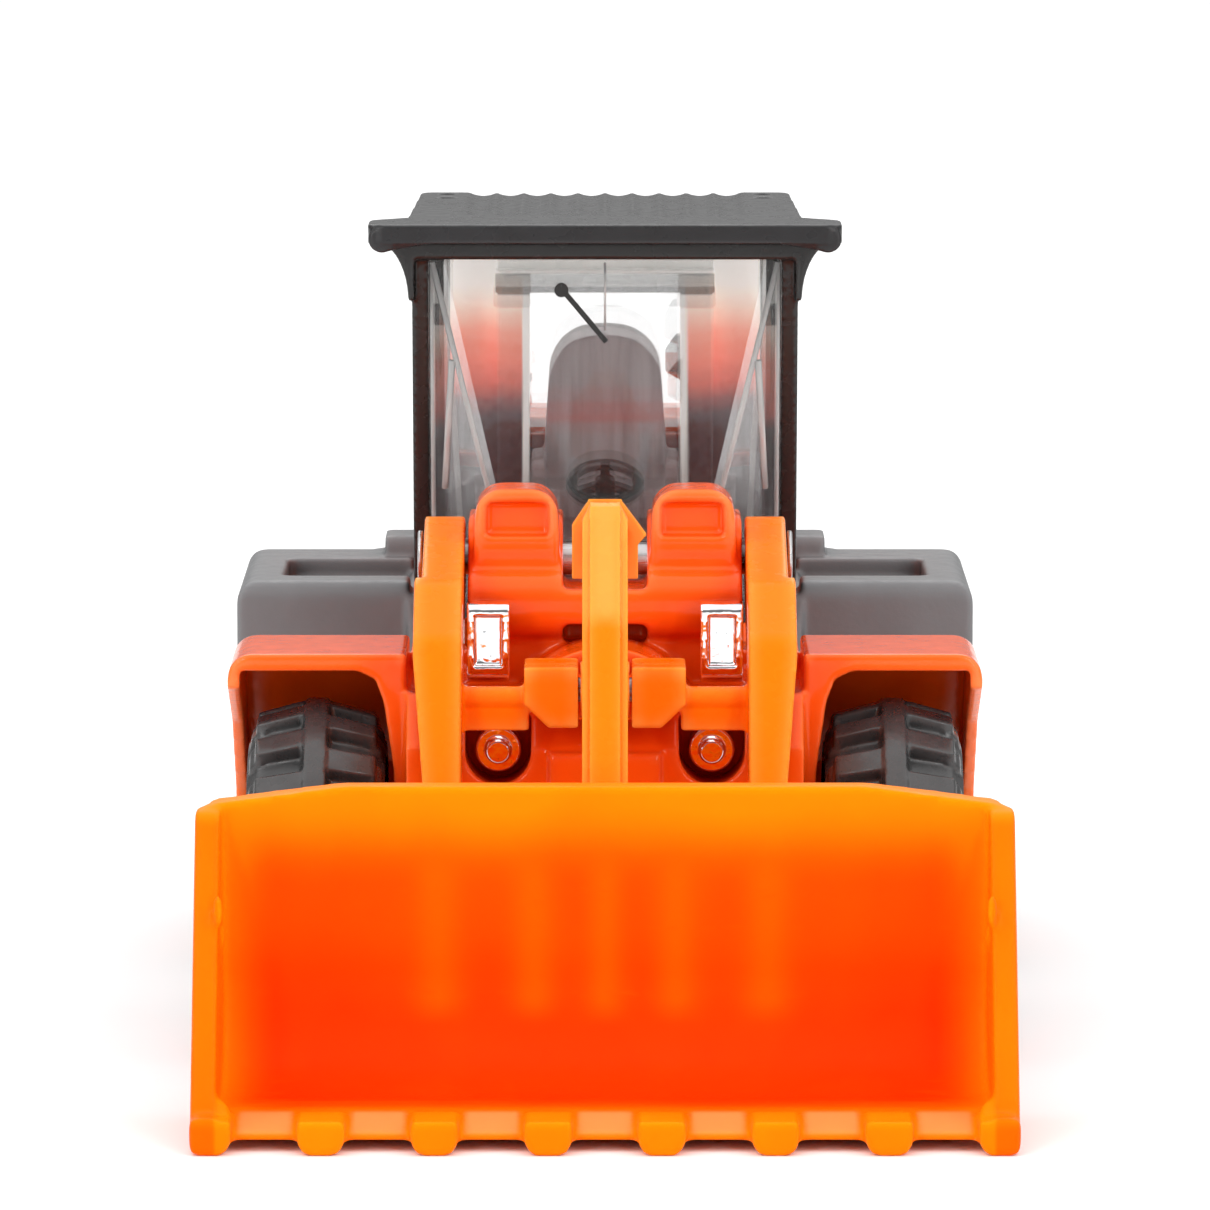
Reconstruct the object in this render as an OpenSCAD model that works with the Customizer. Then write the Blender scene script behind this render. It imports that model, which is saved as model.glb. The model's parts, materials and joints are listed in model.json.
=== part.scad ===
// Toy wheel loader: a palm-sized die-cast model with an articulated frame, four free-rolling
// wheels, a lift arm, and a bucket that a thumb lever tilts through a parallel link.
// The nose points along -Y and +Z is up. The origin is on the ground under the middle of the toy.

/* [Wheels] */
// Diameter over the tread
tyre_d = 14.8; // [14.4:0.1:15]
// Width of a tyre
tyre_w = 5.7; // [5.2:0.1:5.8]
// Distance between the middles of the left and right tyres
track = 23.9; // [23.8:0.1:24.4]
// Distance between the front and rear axles
wheelbase = 30; // [29.6:0.1:30.4]
// Lugs in each of a tyre's two rows
lug_count = 18; // [14:1:20]
// Diameter of the steel axles
axle_d = 1.6; // [1.4:0.1:1.7]

/* [Bucket] */
// Width over the side walls
bucket_w = 32.6; // [31.6:0.2:33]
// Height of the top edge above the ground
bucket_h = 13.6; // [13:0.1:13.8]
// Thickness of the shell
bucket_wall = 0.9; // [0.8:0.05:1]
// Number of teeth on the cutting edge
tooth_count = 8; // [6:1:9]

/* [Cab] */
// Width over the pillars
cab_w = 16.4; // [16.2:0.1:16.6]
// Height of the roof above the ground
roof_z = 34; // [33.8:0.1:34.4]
// Width of the brow over the windscreen
brow_w = 20; // [18:0.5:21]
// Flutes pressed into the roof
flute_count = 10; // [6:1:11]

/* [Lift gear] */
// Gap between the tilt link and the plates beside it
side_gap = 0.1; // [0.08:0.01:0.14]
// Play of a pin in the part that turns on it
pin_play = 0.05; // [0.03:0.01:0.08]

/* [Hidden] */
$fn = 48;

// Colours
paint_orange = "#E8420E";
plastic_orange = "#FF7A05";
plastic_grey = "#5C5D60";
plastic_black = "#1D1B1A";
rubber_black = "#151515";
chrome = "#D5D8DB";
steel = "#A9ACAF";
lamp_red = "#B3140F";
clear = [0.85, 0.88, 0.88, 0.35];

// Axles and ground. Points named yz_ are [Y, Z].
tyre_r = tyre_d / 2;
axle_r = axle_d / 2;
front_axle_y = -12.5;
rear_axle_y = front_axle_y + wheelbase;
front_y = -38;
rear_y = 38;
hinge_y = 1.5;

// Lift gear. The bucket, the lever and the link between them make a parallelogram: the lever is
// as long as the bucket's own crank and points the same way, so the link never turns on the arm.
yz_lift = [-8.5, 20.3];
yz_bucket = [-26, 4.4];
yz_lever = [-18.9, 16];
crank = [-1.6, 6.6];
yz_link_top = yz_lever + crank;
yz_link_bottom = yz_bucket + crank;
lift_pin_r = 0.75;
bucket_pin_r = 0.6;
lever_pin_r = 0.5;
link_pin_r = 0.4;

arm_in = 5.85;
arm_out = 7.55;
arm_pad = 7.85;
pivot_out = 6.95;
tower_half = 5.7;
link_half = 0.92;
link_slot = 0.5;
lever_half = link_slot - 0.08;
lug_in = link_half + side_gap;
lug_out = lug_in + 0.75;
ear_in = 1.1;
ear_out = 3.3;

// Front casting
block_half = 8.2;
wheel_wall = 8.75;
block_front = -17.4;
block_rear = -4.2;
block_top = 15.4;
block_bottom = 3.4;
saddle_z = 19.4;
base_bottom = 2.4;
casting_wall = 1.2;
fender_out = 15.6;
fender_top = 17;
fender_t = 0.7;
lip_t = 0.5;
ram_x = 4.4;
ram_z = 13.2;
xz_peg = [4.9, 18.3];
peg_r = 0.45;

// Base screws, and the posts that they go into
screw_r = 0.6;
screw_head_r = 1.1;
post_r = 1.5;
front_post_y = -8;
rear_post_y = [9, 28];

// Steering hinge
tongue_z = [7, 9.2];
fork_z = [5.5, 10.7];
hinge_gap = 0.1;
kingpin_r = 1;
hinge_r = 3.2;

// Rear chassis and body
tub_half = 8.7;
tub_front = 5.5;
tub_rear = 31;
tub_top = 11.2;
tub_wall = 0.9;
rear_fender_out = 16.2;
rear_fender_t = 1.5;
hood_half = 7.8;
hood_front = 12.6;
hood_rear = 33.4;
deck_z = [15.7, 16.6];
cab_half = cab_w / 2;
cab_rear = 12.4;
cab_top = roof_z - 0.8;
pillar_t = 0.7;
glass_half = cab_half - pillar_t - 0.05;
glass_z = [17.15, 32.3];
rear_window = [[-3.3, 23.5], [3.3, 29.8]];
xy_exhaust = [-4.3, 25];
xy_precleaner = [4.2, 20.4];
xz_tail_lamp = [6.9, 13.6];
tail_lamp_r = 0.8;

// Stands a drawing of [Y, Z] points up as a slab from x0 to x1.
module slab(x0, x1) {
    translate([x0, 0, 0])
        rotate([90, 0, 90])
            linear_extrude(x1 - x0)
                children();
}

// Stands a drawing of [X, Z] points up as a slab from y0 to y1.
module wall(y0, y1) {
    translate([0, y1, 0])
        rotate([90, 0, 0])
            linear_extrude(y1 - y0)
                children();
}

// Lays a drawing of [X, Y] points flat from z0 to z1.
module plate(z0, z1) {
    translate([0, 0, z0])
        linear_extrude(z1 - z0)
            children();
}

module block(x, y, z) {
    translate([x[0], y[0], z[0]])
        cube([x[1] - x[0], y[1] - y[0], z[1] - z[0]]);
}

// A rod along X through the point yz.
module rod_x(r, x0, x1, yz) {
    translate([x0, yz[0], yz[1]])
        rotate([0, 90, 0])
            cylinder(r = r, h = x1 - x0);
}

// A rod along Y through [x, z].
module rod_y(r, y0, y1, x, z) {
    translate([x, y1, z])
        rotate([90, 0, 0])
            cylinder(r = r, h = y1 - y0);
}

module rod_z(r, z0, z1, x = 0, y = 0) {
    translate([x, y, z0])
        cylinder(r = r, h = z1 - z0);
}

module both_sides() {
    children();
    mirror([1, 0, 0])
        children();
}

// Rounds a drawing's outward corners.
module rounded(r) {
    offset(r = r, $fn = 24)
        offset(delta = -r)
            children();
}

// A screw or rivet head with a cross recess, seen from below.
module base_screw(x, y, z_head, length) {
    recess = 0.25;
    difference() {
        union() {
            rod_z(screw_head_r, z_head, z_head + 0.5, x, y);
            rod_z(screw_r, z_head, z_head + length, x, y);
        }
        for (turn = [0, 90])
            translate([x, y, z_head])
                rotate([0, 0, turn])
                    cube([1.4, 0.3, 2 * recess], center = true);
    }
}

// ---- Front frame ----

module fender_region() {
    polygon([[-15.3, 6.5], [-15.3, fender_top], [-8.4, fender_top], [-3.6, 11.3], [-3.6, 6.5]]);
}

// The strip of a fender that is t thick, over the top of the wheel and down behind it.
module fender_strip(t) {
    difference() {
        fender_region();
        polygon([
            [-20, 0], [-20, fender_top - t], [-8.4 - 0.45 * t, fender_top - t],
            [-3.6 - t, 11.3 - 0.35 * t], [-3.6 - t, 0]
        ]);
    }
}

module front_fender() {
    intersection() {
        union() {
            slab(block_half, fender_out)
                fender_strip(fender_t);
            // Side lip, deeper towards the back
            slab(fender_out - lip_t, fender_out)
                intersection() {
                    fender_region();
                    polygon([
                        [-16, fender_top - 1.4], [-16, 20], [0, 20], [0, 6.5], [-4.8, 6.5],
                        [-6.6, 10.2], [-10.5, 13.6], [-15.3, fender_top - 1.4]
                    ]);
                }
        }
        wall(-20, 0)
            rounded(1)
                polygon([[0, 0], [fender_out, 0], [fender_out, fender_top], [0, fender_top]]);
    }
    // Gusset in the inner corner, behind the front edge
    wall(-15.3, -13.6)
        polygon([
            [wheel_wall - 0.1, fender_top - 0.2], [wheel_wall + 1.5, fender_top - 0.2],
            [wheel_wall + 1.5, fender_top - fender_t], [wheel_wall + 0.75, fender_top - fender_t - 0.35],
            [wheel_wall + 0.4, fender_top - 2], [wheel_wall, 12.2], [wheel_wall - 0.1, 12.2]
        ]);
    slab(block_half, wheel_wall)
        polygon([
            [block_rear, block_bottom], [-15.3, block_bottom], [-15.3, fender_top],
            [-8.4, fender_top], [-3.7, 11.3]
        ]);
}

module nose_block() {
    slab(-block_half, block_half)
        polygon([
            [block_rear, block_bottom], [block_front + 1.2, block_bottom], [block_front, 5],
            [block_front, 13.4], [block_front + 1.9, block_top], [block_rear, block_top]
        ]);
}

// Two shoulders that carry the lift pin, with a low saddle between them.
module tower() {
    difference() {
        slab(-tower_half, tower_half)
            rounded(1.2)
                polygon([
                    [-12.2, 12], [-12.2, 17.3], [-13.1, 17.4], [-13.1, 19.9], [-12, 20.2], [-10.6, 22.2],
                    [-6.9, 22.2], [-5.6, 20.4], [-5.6, 12]
                ]);
        block([-1.75, 1.75], [-14, -5], [saddle_z, 23]);
        // Window under the saddle
        block([-1.75, 1.75], [-14, -10.6], [17.05, 17.95]);
    }
}

// A moulded work lamp on the tower's shoulder: rounded top, sunk lens, ribbed sill.
module work_lamp() {
    lamp_y = [-12.1, -8.9];
    difference() {
        wall(lamp_y[0], lamp_y[1])
            rounded(1.1)
                polygon([[1.75, 18], [2, 23.5], [5.35, 23.5], [5.6, 18]]);
        block([2.3, 4.95], [-13, lamp_y[0] + 0.45], [21.55, 22.95]);
        for (z = [20.55, 21.15])
            block([2.2, 5.15], [-13, lamp_y[0] + 0.15], [z, z + 0.22]);
    }
}

// A round-bottomed pocket for a lift ram.
module ram_pocket() {
    wall(block_front - 1, block_front + 3)
        union() {
            translate([ram_x, ram_z])
                circle(r = 1.35);
            translate([ram_x - 1.35, ram_z])
                square([2.7, 1.5]);
        }
}

module hinge_tongue() {
    plate(tongue_z[0], tongue_z[1])
        union() {
            translate([0, hinge_y])
                circle(r = hinge_r);
            translate([-hinge_r, block_rear - 0.2])
                square([2 * hinge_r, hinge_y - block_rear + 0.2]);
        }
}

module front_frame() {
    color(paint_orange)
        difference() {
            union() {
                nose_block();
                tower();
                both_sides() {
                    front_fender();
                    work_lamp();
                    // Shoulder that ties the tower to the block
                    block([tower_half - 0.5, block_half], [-7.6, block_rear], [14, 16.2]);
                }
                // Round-topped stop between the rams, and the rib down the nose
                wall(-16.45, -12)
                    translate([0, 13.2])
                        circle(r = 4.2);
                wall(block_front - 0.35, -14)
                    polygon([[-2.3, 5.2], [-2.3, 13.2], [2.3, 13.2], [2.3, 5.2]]);
                hinge_tongue();
            }
            // Hollow underside
            difference() {
                block(
                    [-block_half + casting_wall, block_half - casting_wall],
                    [block_front + 3.3, block_rear - casting_wall],
                    [block_bottom - 1, 11.6]
                );
                rod_z(post_r, block_bottom, 12, 0, front_post_y);
            }
            rod_z(screw_r, 0, 9, 0, front_post_y);
            // Axle slot, open at the bottom
            rod_x(axle_r + pin_play, -10, 10, [front_axle_y, tyre_r]);
            block(
                [-10, 10],
                [front_axle_y - axle_r - pin_play, front_axle_y + axle_r + pin_play],
                [0, tyre_r]
            );
            rod_x(lift_pin_r, -10, 10, yz_lift);
            rod_z(kingpin_r + pin_play, 0, 20, 0, hinge_y);
            both_sides() {
                ram_pocket();
                // Socket for the headlight's peg
                rod_y(peg_r, -14, -11.3, xz_peg[0], xz_peg[1]);
            }
        }
}

module front_base() {
    saddle_top = tyre_r - axle_r - pin_play;
    color(plastic_grey)
        difference() {
            union() {
                plate(base_bottom, block_bottom)
                    rounded(1)
                        polygon([[-8.1, -16], [8.1, -16], [8.1, -4.4], [-8.1, -4.4]]);
                both_sides()
                    block(
                        [block_half - casting_wall + 0.1, wheel_wall - 0.1],
                        [front_axle_y - axle_r, front_axle_y + axle_r],
                        [base_bottom + 0.5, saddle_top]
                    );
                for (y = [-15, -10.6, -5.4])
                    block([-6.4, 6.4], [y, y + 0.5], [base_bottom - 0.25, base_bottom + 0.3]);
            }
            rod_z(screw_r, 0, 5, 0, front_post_y);
            rod_z(screw_head_r, 0, base_bottom + 0.5, 0, front_post_y);
        }
}

module front_base_screw() {
    color(steel)
        base_screw(0, front_post_y, base_bottom, 6);
}

// A plated lamp that stands in front of the tower, on a peg.
module headlight() {
    color(chrome)
        difference() {
            union() {
                slab(3.95, 5.7)
                    rounded(0.35)
                        polygon([[-13.9, 15.6], [-15.2, 16], [-15.4, 19.1], [-13.9, 19.1]]);
                rod_y(peg_r, -14.1, -11.35, xz_peg[0], xz_peg[1]);
            }
            block([4.25, 5.4], [-16, -14.95], [16.5, 18.6]);
        }
}

// The visible ends of the lift rams, sunk in the nose pockets.
module lift_rams() {
    pocket_back = block_front + 3;
    color(chrome)
        both_sides() {
            rod_y(0.95, block_front + 0.9, pocket_back, ram_x, ram_z);
            rod_y(0.5, block_front + 0.1, block_front + 0.95, ram_x, ram_z);
        }
}

module lift_pin() {
    color(steel)
        union() {
            rod_x(lift_pin_r, -arm_out - 0.1, arm_out + 0.1, yz_lift);
            both_sides()
                rod_x(1.1, arm_out + 0.08, arm_out + 0.3, yz_lift);
        }
}

// ---- Lift arm, lever and link ----

module arm_outline() {
    offset(r = 1.25, $fn = 24)
        polygon([
            yz_lift + [0.35, 0], yz_lift + [-0.1, 0.45], [-16.3, 19], [-18.9, 17.3],
            yz_bucket + [-0.1, 0.1], yz_bucket + [0.1, -0.1], [-17.3, 16.3], [-15.4, 17.9],
            yz_lift + [0, -0.45]
        ]);
}

// One arm: a plate behind the elbow, and in front of it a cheek that thins towards the bucket.
module arm() {
    slab(arm_in, arm_out)
        intersection() {
            arm_outline();
            polygon([[-17, 30], [0, 30], [0, 0], [-17, 0]]);
        }
    intersection() {
        slab(arm_in, arm_pad)
            intersection() {
                arm_outline();
                polygon([[-16.2, 30], [-40, 30], [-40, 0], [-16.2, 0]]);
            }
        wall(-40, 0)
            polygon([
                [arm_in - 1, 0], [pivot_out, 0], [pivot_out, yz_bucket[1] + 3], [arm_pad, 17.5],
                [arm_pad, 30], [arm_in - 1, 30]
            ]);
    }
}

module cross_tube() {
    both_sides() {
        rod_x(0.5, ear_out - 0.2, arm_in + 0.2, yz_lever + [-0.1, -0.35]);
        block(
            [ear_out - 0.2, arm_in + 0.2],
            [yz_lever[0] - 0.5, yz_lever[0] + 0.5],
            [yz_lever[1] - 1.65, yz_lever[1] - 0.75]
        );
    }
}

// The block on the cross tube, slotted for the lever.
module lever_ears() {
    y = yz_lever[0];
    z = yz_lever[1];
    web_y = y + 1.35;
    difference() {
        wall(y - 1.25, y + 2.15)
            polygon([
                [-ear_out, z + 1.05], [ear_out, z + 1.05], [ear_out, z - 0.5], [2.3, z - 1.45],
                [-2.3, z - 1.45], [-ear_out, z - 0.5]
            ]);
        block([-ear_in, ear_in], [y - 3, web_y], [z - 3, z + 3]);
        block([-ear_in, ear_in], [y - 3, y + 3], [z + 0.3, z + 3]);
    }
}

module lift_arm() {
    color(plastic_orange)
        difference() {
            union() {
                both_sides()
                    arm();
                cross_tube();
                lever_ears();
            }
            rod_x(lift_pin_r + pin_play, -10, 10, yz_lift);
            rod_x(bucket_pin_r + pin_play, -10, 10, yz_bucket);
            rod_x(lever_pin_r, -ear_out + 0.3, ear_out - 0.3, yz_lever);
        }
}

module lever_pin() {
    color(steel)
        rod_x(lever_pin_r, -ear_out + 0.3, ear_out - 0.3, yz_lever);
}

// The thumb lever: a thin stem that runs in the link's slot, and a wide tab behind its top.
module tilt_lever() {
    base_half = ear_in - side_gap;
    stem = 0.55;
    tab_half = 1.35;
    nib = 0.35;
    up = crank / norm(crank);
    back = [up[1], -up[0]];
    top = yz_link_top;
    color(plastic_orange)
        difference() {
            union() {
                slab(-lever_half, lever_half)
                    polygon([
                        yz_lever - back * stem, yz_lever + back * stem, top + back * 1.3 - up * 2,
                        top + back * 1.3 + up * 0.5, top - back * stem
                    ]);
                rod_x(0.7, -lever_half, lever_half, top);
                rod_x(1.15, -base_half, base_half, yz_lever);
                difference() {
                    slab(-tab_half, tab_half + nib)
                        polygon([
                            top + back * 1.15 - up * 2.4, top + back * 1.7 - up * 2.4,
                            top + back * 1.75 + up * 0.7, top + back * 1.1 + up * 1.1
                        ]);
                    // Sloped shoulders, with a nib below the one on the left
                    wall(-25, -15)
                        polygon([
                            [-0.7, 25], [-0.7, top[1] + 1.2], [-tab_half, top[1] + 0.2],
                            [-tab_half - 1, top[1] + 0.2], [-tab_half - 1, 25]
                        ]);
                    wall(-25, -15)
                        polygon([
                            [0.7, 25], [0.7, top[1] + 1.2], [tab_half + nib, top[1] - 0.2],
                            [tab_half, top[1] - 0.6], [tab_half, 10], [tab_half + 1, 10],
                            [tab_half + 1, 25]
                        ]);
                }
            }
            rod_x(lever_pin_r + pin_play, -5, 5, yz_lever);
            rod_x(link_pin_r, -5, 5, top);
        }
}

module link_pin(yz, half) {
    color(steel)
        rod_x(link_pin_r, -half, half, yz);
}

// The link's side view, with its front face moved out by `front`.
module link_outline(front) {
    run = yz_link_bottom - yz_link_top;
    along = run / norm(run);
    out = [along[1], -along[0]];
    polygon([
        yz_link_top - along * 0.9 - out * 0.2, yz_link_top - along * 1.1 + out * (front - 0.4),
        yz_link_top - along * 0.7 + out * front, yz_link_bottom - along * 1.6 + out * front,
        yz_link_bottom + out * 0.8, yz_link_bottom - out * 0.6, yz_link_top - out * 0.6
    ]);
}

// A bar with a raised front, slotted at the top for the lever.
module tilt_link() {
    run = yz_link_bottom - yz_link_top;
    along = run / norm(run);
    out = [along[1], -along[0]];
    top_z = yz_link_top[1] + 1.1;
    color(plastic_orange)
        difference() {
            union() {
                slab(-link_half, link_half)
                    link_outline(0.86);
                slab(-link_half + 0.3, link_half - 0.3)
                    link_outline(1.12);
                rod_x(1, -link_half, link_half, yz_link_bottom);
            }
            slab(-link_slot, link_slot)
                polygon([
                    yz_link_top - along * 3 + out * 0.78, yz_link_top + along * 4.2 + out * 0.78,
                    yz_link_top + along * 5.4 - out * 2, yz_link_top - along * 3 - out * 2
                ]);
            // Sloped corners at the top
            both_sides()
                wall(-25, -15)
                    polygon([
                        [0.66, top_z + 1], [0.66, top_z], [link_half + 0.1, top_z - 0.7],
                        [2, top_z - 0.7], [2, top_z + 1]
                    ]);
            rod_x(link_pin_r + pin_play, -5, 5, yz_link_top);
            rod_x(link_pin_r + pin_play, -5, 5, yz_link_bottom);
        }
}

// ---- Bucket ----

bucket_lip = [-37, 0.45];
bucket_heel_r = 4.6;
heel_steps = 24;
bucket_back = [-27.8, 4.9];
bucket_lean = atan2(-2.0, bucket_h - bucket_back[1]);

// The back and floor as one curve, from the lip to the top edge, moved inward by `inset`.
function bucket_curve(inset, front_y, top_z) =
    let (
        c = [bucket_back[0] - bucket_heel_r, bucket_lip[1] + bucket_heel_r],
        r = bucket_heel_r - inset,
        turn_end = -bucket_lean,
        last = c + r * [cos(turn_end), sin(turn_end)],
        rise = top_z - last[1]
    )
    concat(
        [[front_y, c[1] - r]],
        [for (i = [0:heel_steps]) let (a = -90 + (90 + turn_end) * i / heel_steps) c + r * [cos(a), sin(a)]],
        [[last[0] - rise * tan(-bucket_lean), top_z]]
    );

module bucket_side() {
    rounded(0.7)
        polygon(concat(
            [[-37, 1.5]],
            bucket_curve(0, bucket_lip[0] + 0.6, bucket_h - 0.9),
            [[-31, bucket_h - 0.9]]
        ));
}

module bucket_shell() {
    difference() {
        polygon(concat(
            bucket_curve(0, bucket_lip[0], bucket_h),
            [[-45, bucket_h], [-45, bucket_lip[1]]]
        ));
        polygon(concat(
            bucket_curve(bucket_wall, -46, 30),
            [[-46, 30]]
        ));
        // Sharpened cutting edge
        polygon([
            [-34.6, bucket_lip[1] + bucket_wall], [bucket_lip[0], bucket_lip[1] + 0.3],
            [-46, bucket_lip[1] + 0.3], [-46, 3], [-34.6, 3]
        ]);
        polygon([[-46, 0], [bucket_lip[0], 0], [bucket_lip[0], 20], [-46, 20]]);
    }
}

// A round-cornered tooth under the cutting edge, never wider than the bucket.
module tooth(x) {
    half = bucket_w / 2;
    wall(front_y, bucket_lip[0] + 1.6)
        rounded(0.3)
            polygon([
                for (p = [[-0.95, 1.5], [-0.95, 0.5], [-0.65, 0], [0.65, 0], [0.95, 0.5], [0.95, 1.5]])
                    [max(-half, min(half, x + p[0])), p[1]]
            ]);
}

// An ear on the back of the bucket round the point yz.
module bucket_ear(x0, x1, yz, r) {
    slab(x0, x1)
        union() {
            translate(yz)
                circle(r = r);
            polygon([
                yz + [0, r], yz + [-3.2, r + 0.6], yz + [-2.6, -r - 1.1], yz + [0.3, -r]
            ]);
        }
}

module bucket() {
    half = bucket_w / 2;
    pitch = (bucket_w - 1.4) / (tooth_count - 1);
    color(plastic_orange)
        difference() {
            union() {
                slab(-half + 0.5, half - 0.5)
                    bucket_shell();
                both_sides()
                    slab(half - 1, half)
                        bucket_side();
                // Rolled top edge
                rod_x(0.6, -half + 0.5, half - 0.5, [-29.35, bucket_h - 0.6]);
                for (i = [0:tooth_count - 1])
                    tooth(-half + 0.7 + pitch * i);
                // Heel strip that the bucket stands on
                block([-half + 1, half - 1], [-32.6, -31.4], [0, 0.6]);
                both_sides() {
                    bucket_ear(arm_in - 0.85, arm_in - 0.1, yz_bucket, 1.25);
                    bucket_ear(pivot_out + 0.1, pivot_out + 0.85, yz_bucket, 1.25);
                    bucket_ear(lug_in, lug_out, yz_link_bottom, 1.05);
                }
            }
            // The ears stop at the shell's inner face
            slab(-half + 1, half - 1)
                polygon(concat(
                    bucket_curve(bucket_wall, -46, 30),
                    [[-46, 30], [-46, 20], [-36, 20], [-36, 6], [-46, 6]]
                ));
            // The top edge drops towards both ends
            both_sides()
                wall(-40, -20)
                    polygon([
                        [10.3, bucket_h], [half + 1, bucket_h - 0.95],
                        [half + 1, bucket_h + 2], [10.3, bucket_h + 2]
                    ]);
            rod_x(bucket_pin_r, -10, 10, yz_bucket);
            rod_x(link_pin_r, -3, 3, yz_link_bottom);
        }
}

module bucket_pins() {
    color(steel)
        both_sides()
            rod_x(bucket_pin_r, arm_in - 0.85, pivot_out + 0.85, yz_bucket);
}

// ---- Rear frame ----

module rear_fender_region() {
    polygon([
        [8.8, 8], [8.8, 9.6], [10.7, 13.6], [10.7, fender_top], [24.1, fender_top],
        [27.4, 12.6], [27.4, 8]
    ]);
}

module rear_fender() {
    under = fender_top - rear_fender_t;
    difference() {
        intersection() {
            slab(tub_half - 0.1, rear_fender_out)
                difference() {
                    rounded(0.8)
                        rear_fender_region();
                    polygon([
                        [9.6, 0], [9.6, 9.5], [11.5, 13.3], [11.5, under], [23.4, under],
                        [26.6, 12.4], [26.6, 0]
                    ]);
                }
            wall(8, 28)
                rounded(0.9)
                    polygon([
                        [0, 0], [rear_fender_out, 0], [rear_fender_out, fender_top], [0, fender_top]
                    ]);
        }
        // Sunk tread panel
        plate(fender_top - 0.9, fender_top + 1)
            rounded(0.5)
                polygon([[8.3, 13.4], [14.2, 13.4], [14.2, 20], [8.3, 20]]);
    }
}

module steps() {
    for (z = [3.7, 7.4, 11.1])
        block([tub_half - 0.1, 14.6], [5.8, 9.4], [z, z + 0.7]);
    block([tub_half - 0.1, 14.6], [8.8, 9.4], [3.7, 11.8]);
    block([14, 14.6], [5.8, 9.4], [3.7, 11.8]);
}

module hinge_fork() {
    both = [[fork_z[0], tongue_z[0] - hinge_gap], [tongue_z[1] + hinge_gap, fork_z[1]]];
    for (z = both)
        plate(z[0], z[1])
            union() {
                translate([0, hinge_y])
                    circle(r = hinge_r);
                translate([-hinge_r, hinge_y])
                    square([2 * hinge_r, tub_front + 0.5 - hinge_y]);
            }
}

module rear_chassis() {
    color(plastic_grey)
        difference() {
            union() {
                difference() {
                    block([-tub_half, tub_half], [tub_front, tub_rear], [block_bottom, tub_top]);
                    block(
                        [-tub_half + tub_wall, tub_half - tub_wall],
                        [tub_front + tub_wall, tub_rear - tub_wall],
                        [block_bottom - 1, tub_top - tub_wall]
                    );
                }
                both_sides() {
                    rear_fender();
                    steps();
                    // Inner wall beside the bonnet
                    slab(hood_half + 0.1, tub_half)
                        polygon([
                            [9.4, tub_top - 0.2], [10.7, fender_top - 0.6], [24.1, fender_top - 0.6],
                            [26.6, tub_top - 0.2]
                        ]);
                    // Air duct on the fender's inner corner
                    slab(hood_half + 0.1, 9.9)
                        rounded(0.6)
                            polygon([[20.3, 15.6], [20.9, 17.9], [24, 17.9], [25, 15.6]]);
                }
                hinge_fork();
            }
            rod_x(axle_r + pin_play, -10, 10, [rear_axle_y, tyre_r]);
            block(
                [-10, 10],
                [rear_axle_y - axle_r - pin_play, rear_axle_y + axle_r + pin_play],
                [0, tyre_r]
            );
            rod_z(kingpin_r, 0, 20, 0, hinge_y);
            for (y = rear_post_y)
                rod_z(post_r + pin_play, 0, 20, 0, y);
        }
}

module rear_base() {
    saddle_top = tyre_r - axle_r - pin_play;
    color(plastic_grey)
        difference() {
            union() {
                plate(base_bottom, block_bottom)
                    rounded(1)
                        polygon([[-8.6, 5.7], [8.6, 5.7], [8.6, 30.8], [-8.6, 30.8]]);
                both_sides()
                    block(
                        [tub_half - tub_wall + 0.1, tub_half - 0.1],
                        [rear_axle_y - axle_r, rear_axle_y + axle_r],
                        [base_bottom + 0.5, saddle_top]
                    );
                for (y = [7, 12, 22, 25, 30])
                    block([-6.8, 6.8], [y, y + 0.5], [base_bottom - 0.25, base_bottom + 0.3]);
                // Tow hitch
                plate(base_bottom, block_bottom)
                    rounded(0.8)
                        polygon([[-2, 29], [2, 29], [2, rear_y], [-2, rear_y]]);
            }
            rod_z(0.6, 0, 6, 0, rear_y - 1.2);
            for (y = rear_post_y) {
                rod_z(screw_r, 0, 5, 0, y);
                rod_z(screw_head_r, 0, base_bottom + 0.5, 0, y);
            }
        }
}

module rear_base_screws() {
    color(steel)
        for (y = rear_post_y)
            base_screw(0, y, base_bottom, 6);
}

module kingpin() {
    color(steel)
        union() {
            rod_z(kingpin_r, fork_z[0] - 0.3, fork_z[1] + 0.3, 0, hinge_y);
            rod_z(1.6, fork_z[0] - 0.6, fork_z[0], 0, hinge_y);
            rod_z(1.6, fork_z[1], fork_z[1] + 0.5, 0, hinge_y);
        }
}

module deck_outline() {
    polygon([
        [-4.3, -2.2], [4.3, -2.2], [cab_half, 1], [cab_half, hood_front],
        [-cab_half, hood_front], [-cab_half, 1]
    ]);
}

// The bonnet's top line as seen from the side.
hood_top = [[hood_front, 24.1], [15, 24.3], [30, 23.05], [hood_rear, 21.6]];

// The bonnet as a solid, or with `inset` the hollow inside it.
module hood_block(inset) {
    tail_z = 16 + inset;
    intersection() {
        slab(-hood_half - 1, hood_half + 1)
            polygon(concat(
                [[hood_front + inset, tub_top - inset]],
                [for (p = hood_top)
                    [max(hood_front + inset, min(hood_rear - inset, p[0])), p[1] - inset]],
                [
                    [hood_rear - inset, tail_z], [tub_rear - 0.1 - inset, tail_z],
                    [tub_rear - 0.1 - inset, tub_top - inset]
                ]
            ));
        wall(hood_front - 1, hood_rear + 1)
            polygon([
                [-hood_half + inset, 5], [-hood_half + inset, 21 - inset],
                [-6.4 + inset / 2, 25], [6.4 - inset / 2, 25],
                [hood_half - inset, 21 - inset], [hood_half - inset, 5]
            ]);
    }
}

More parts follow.
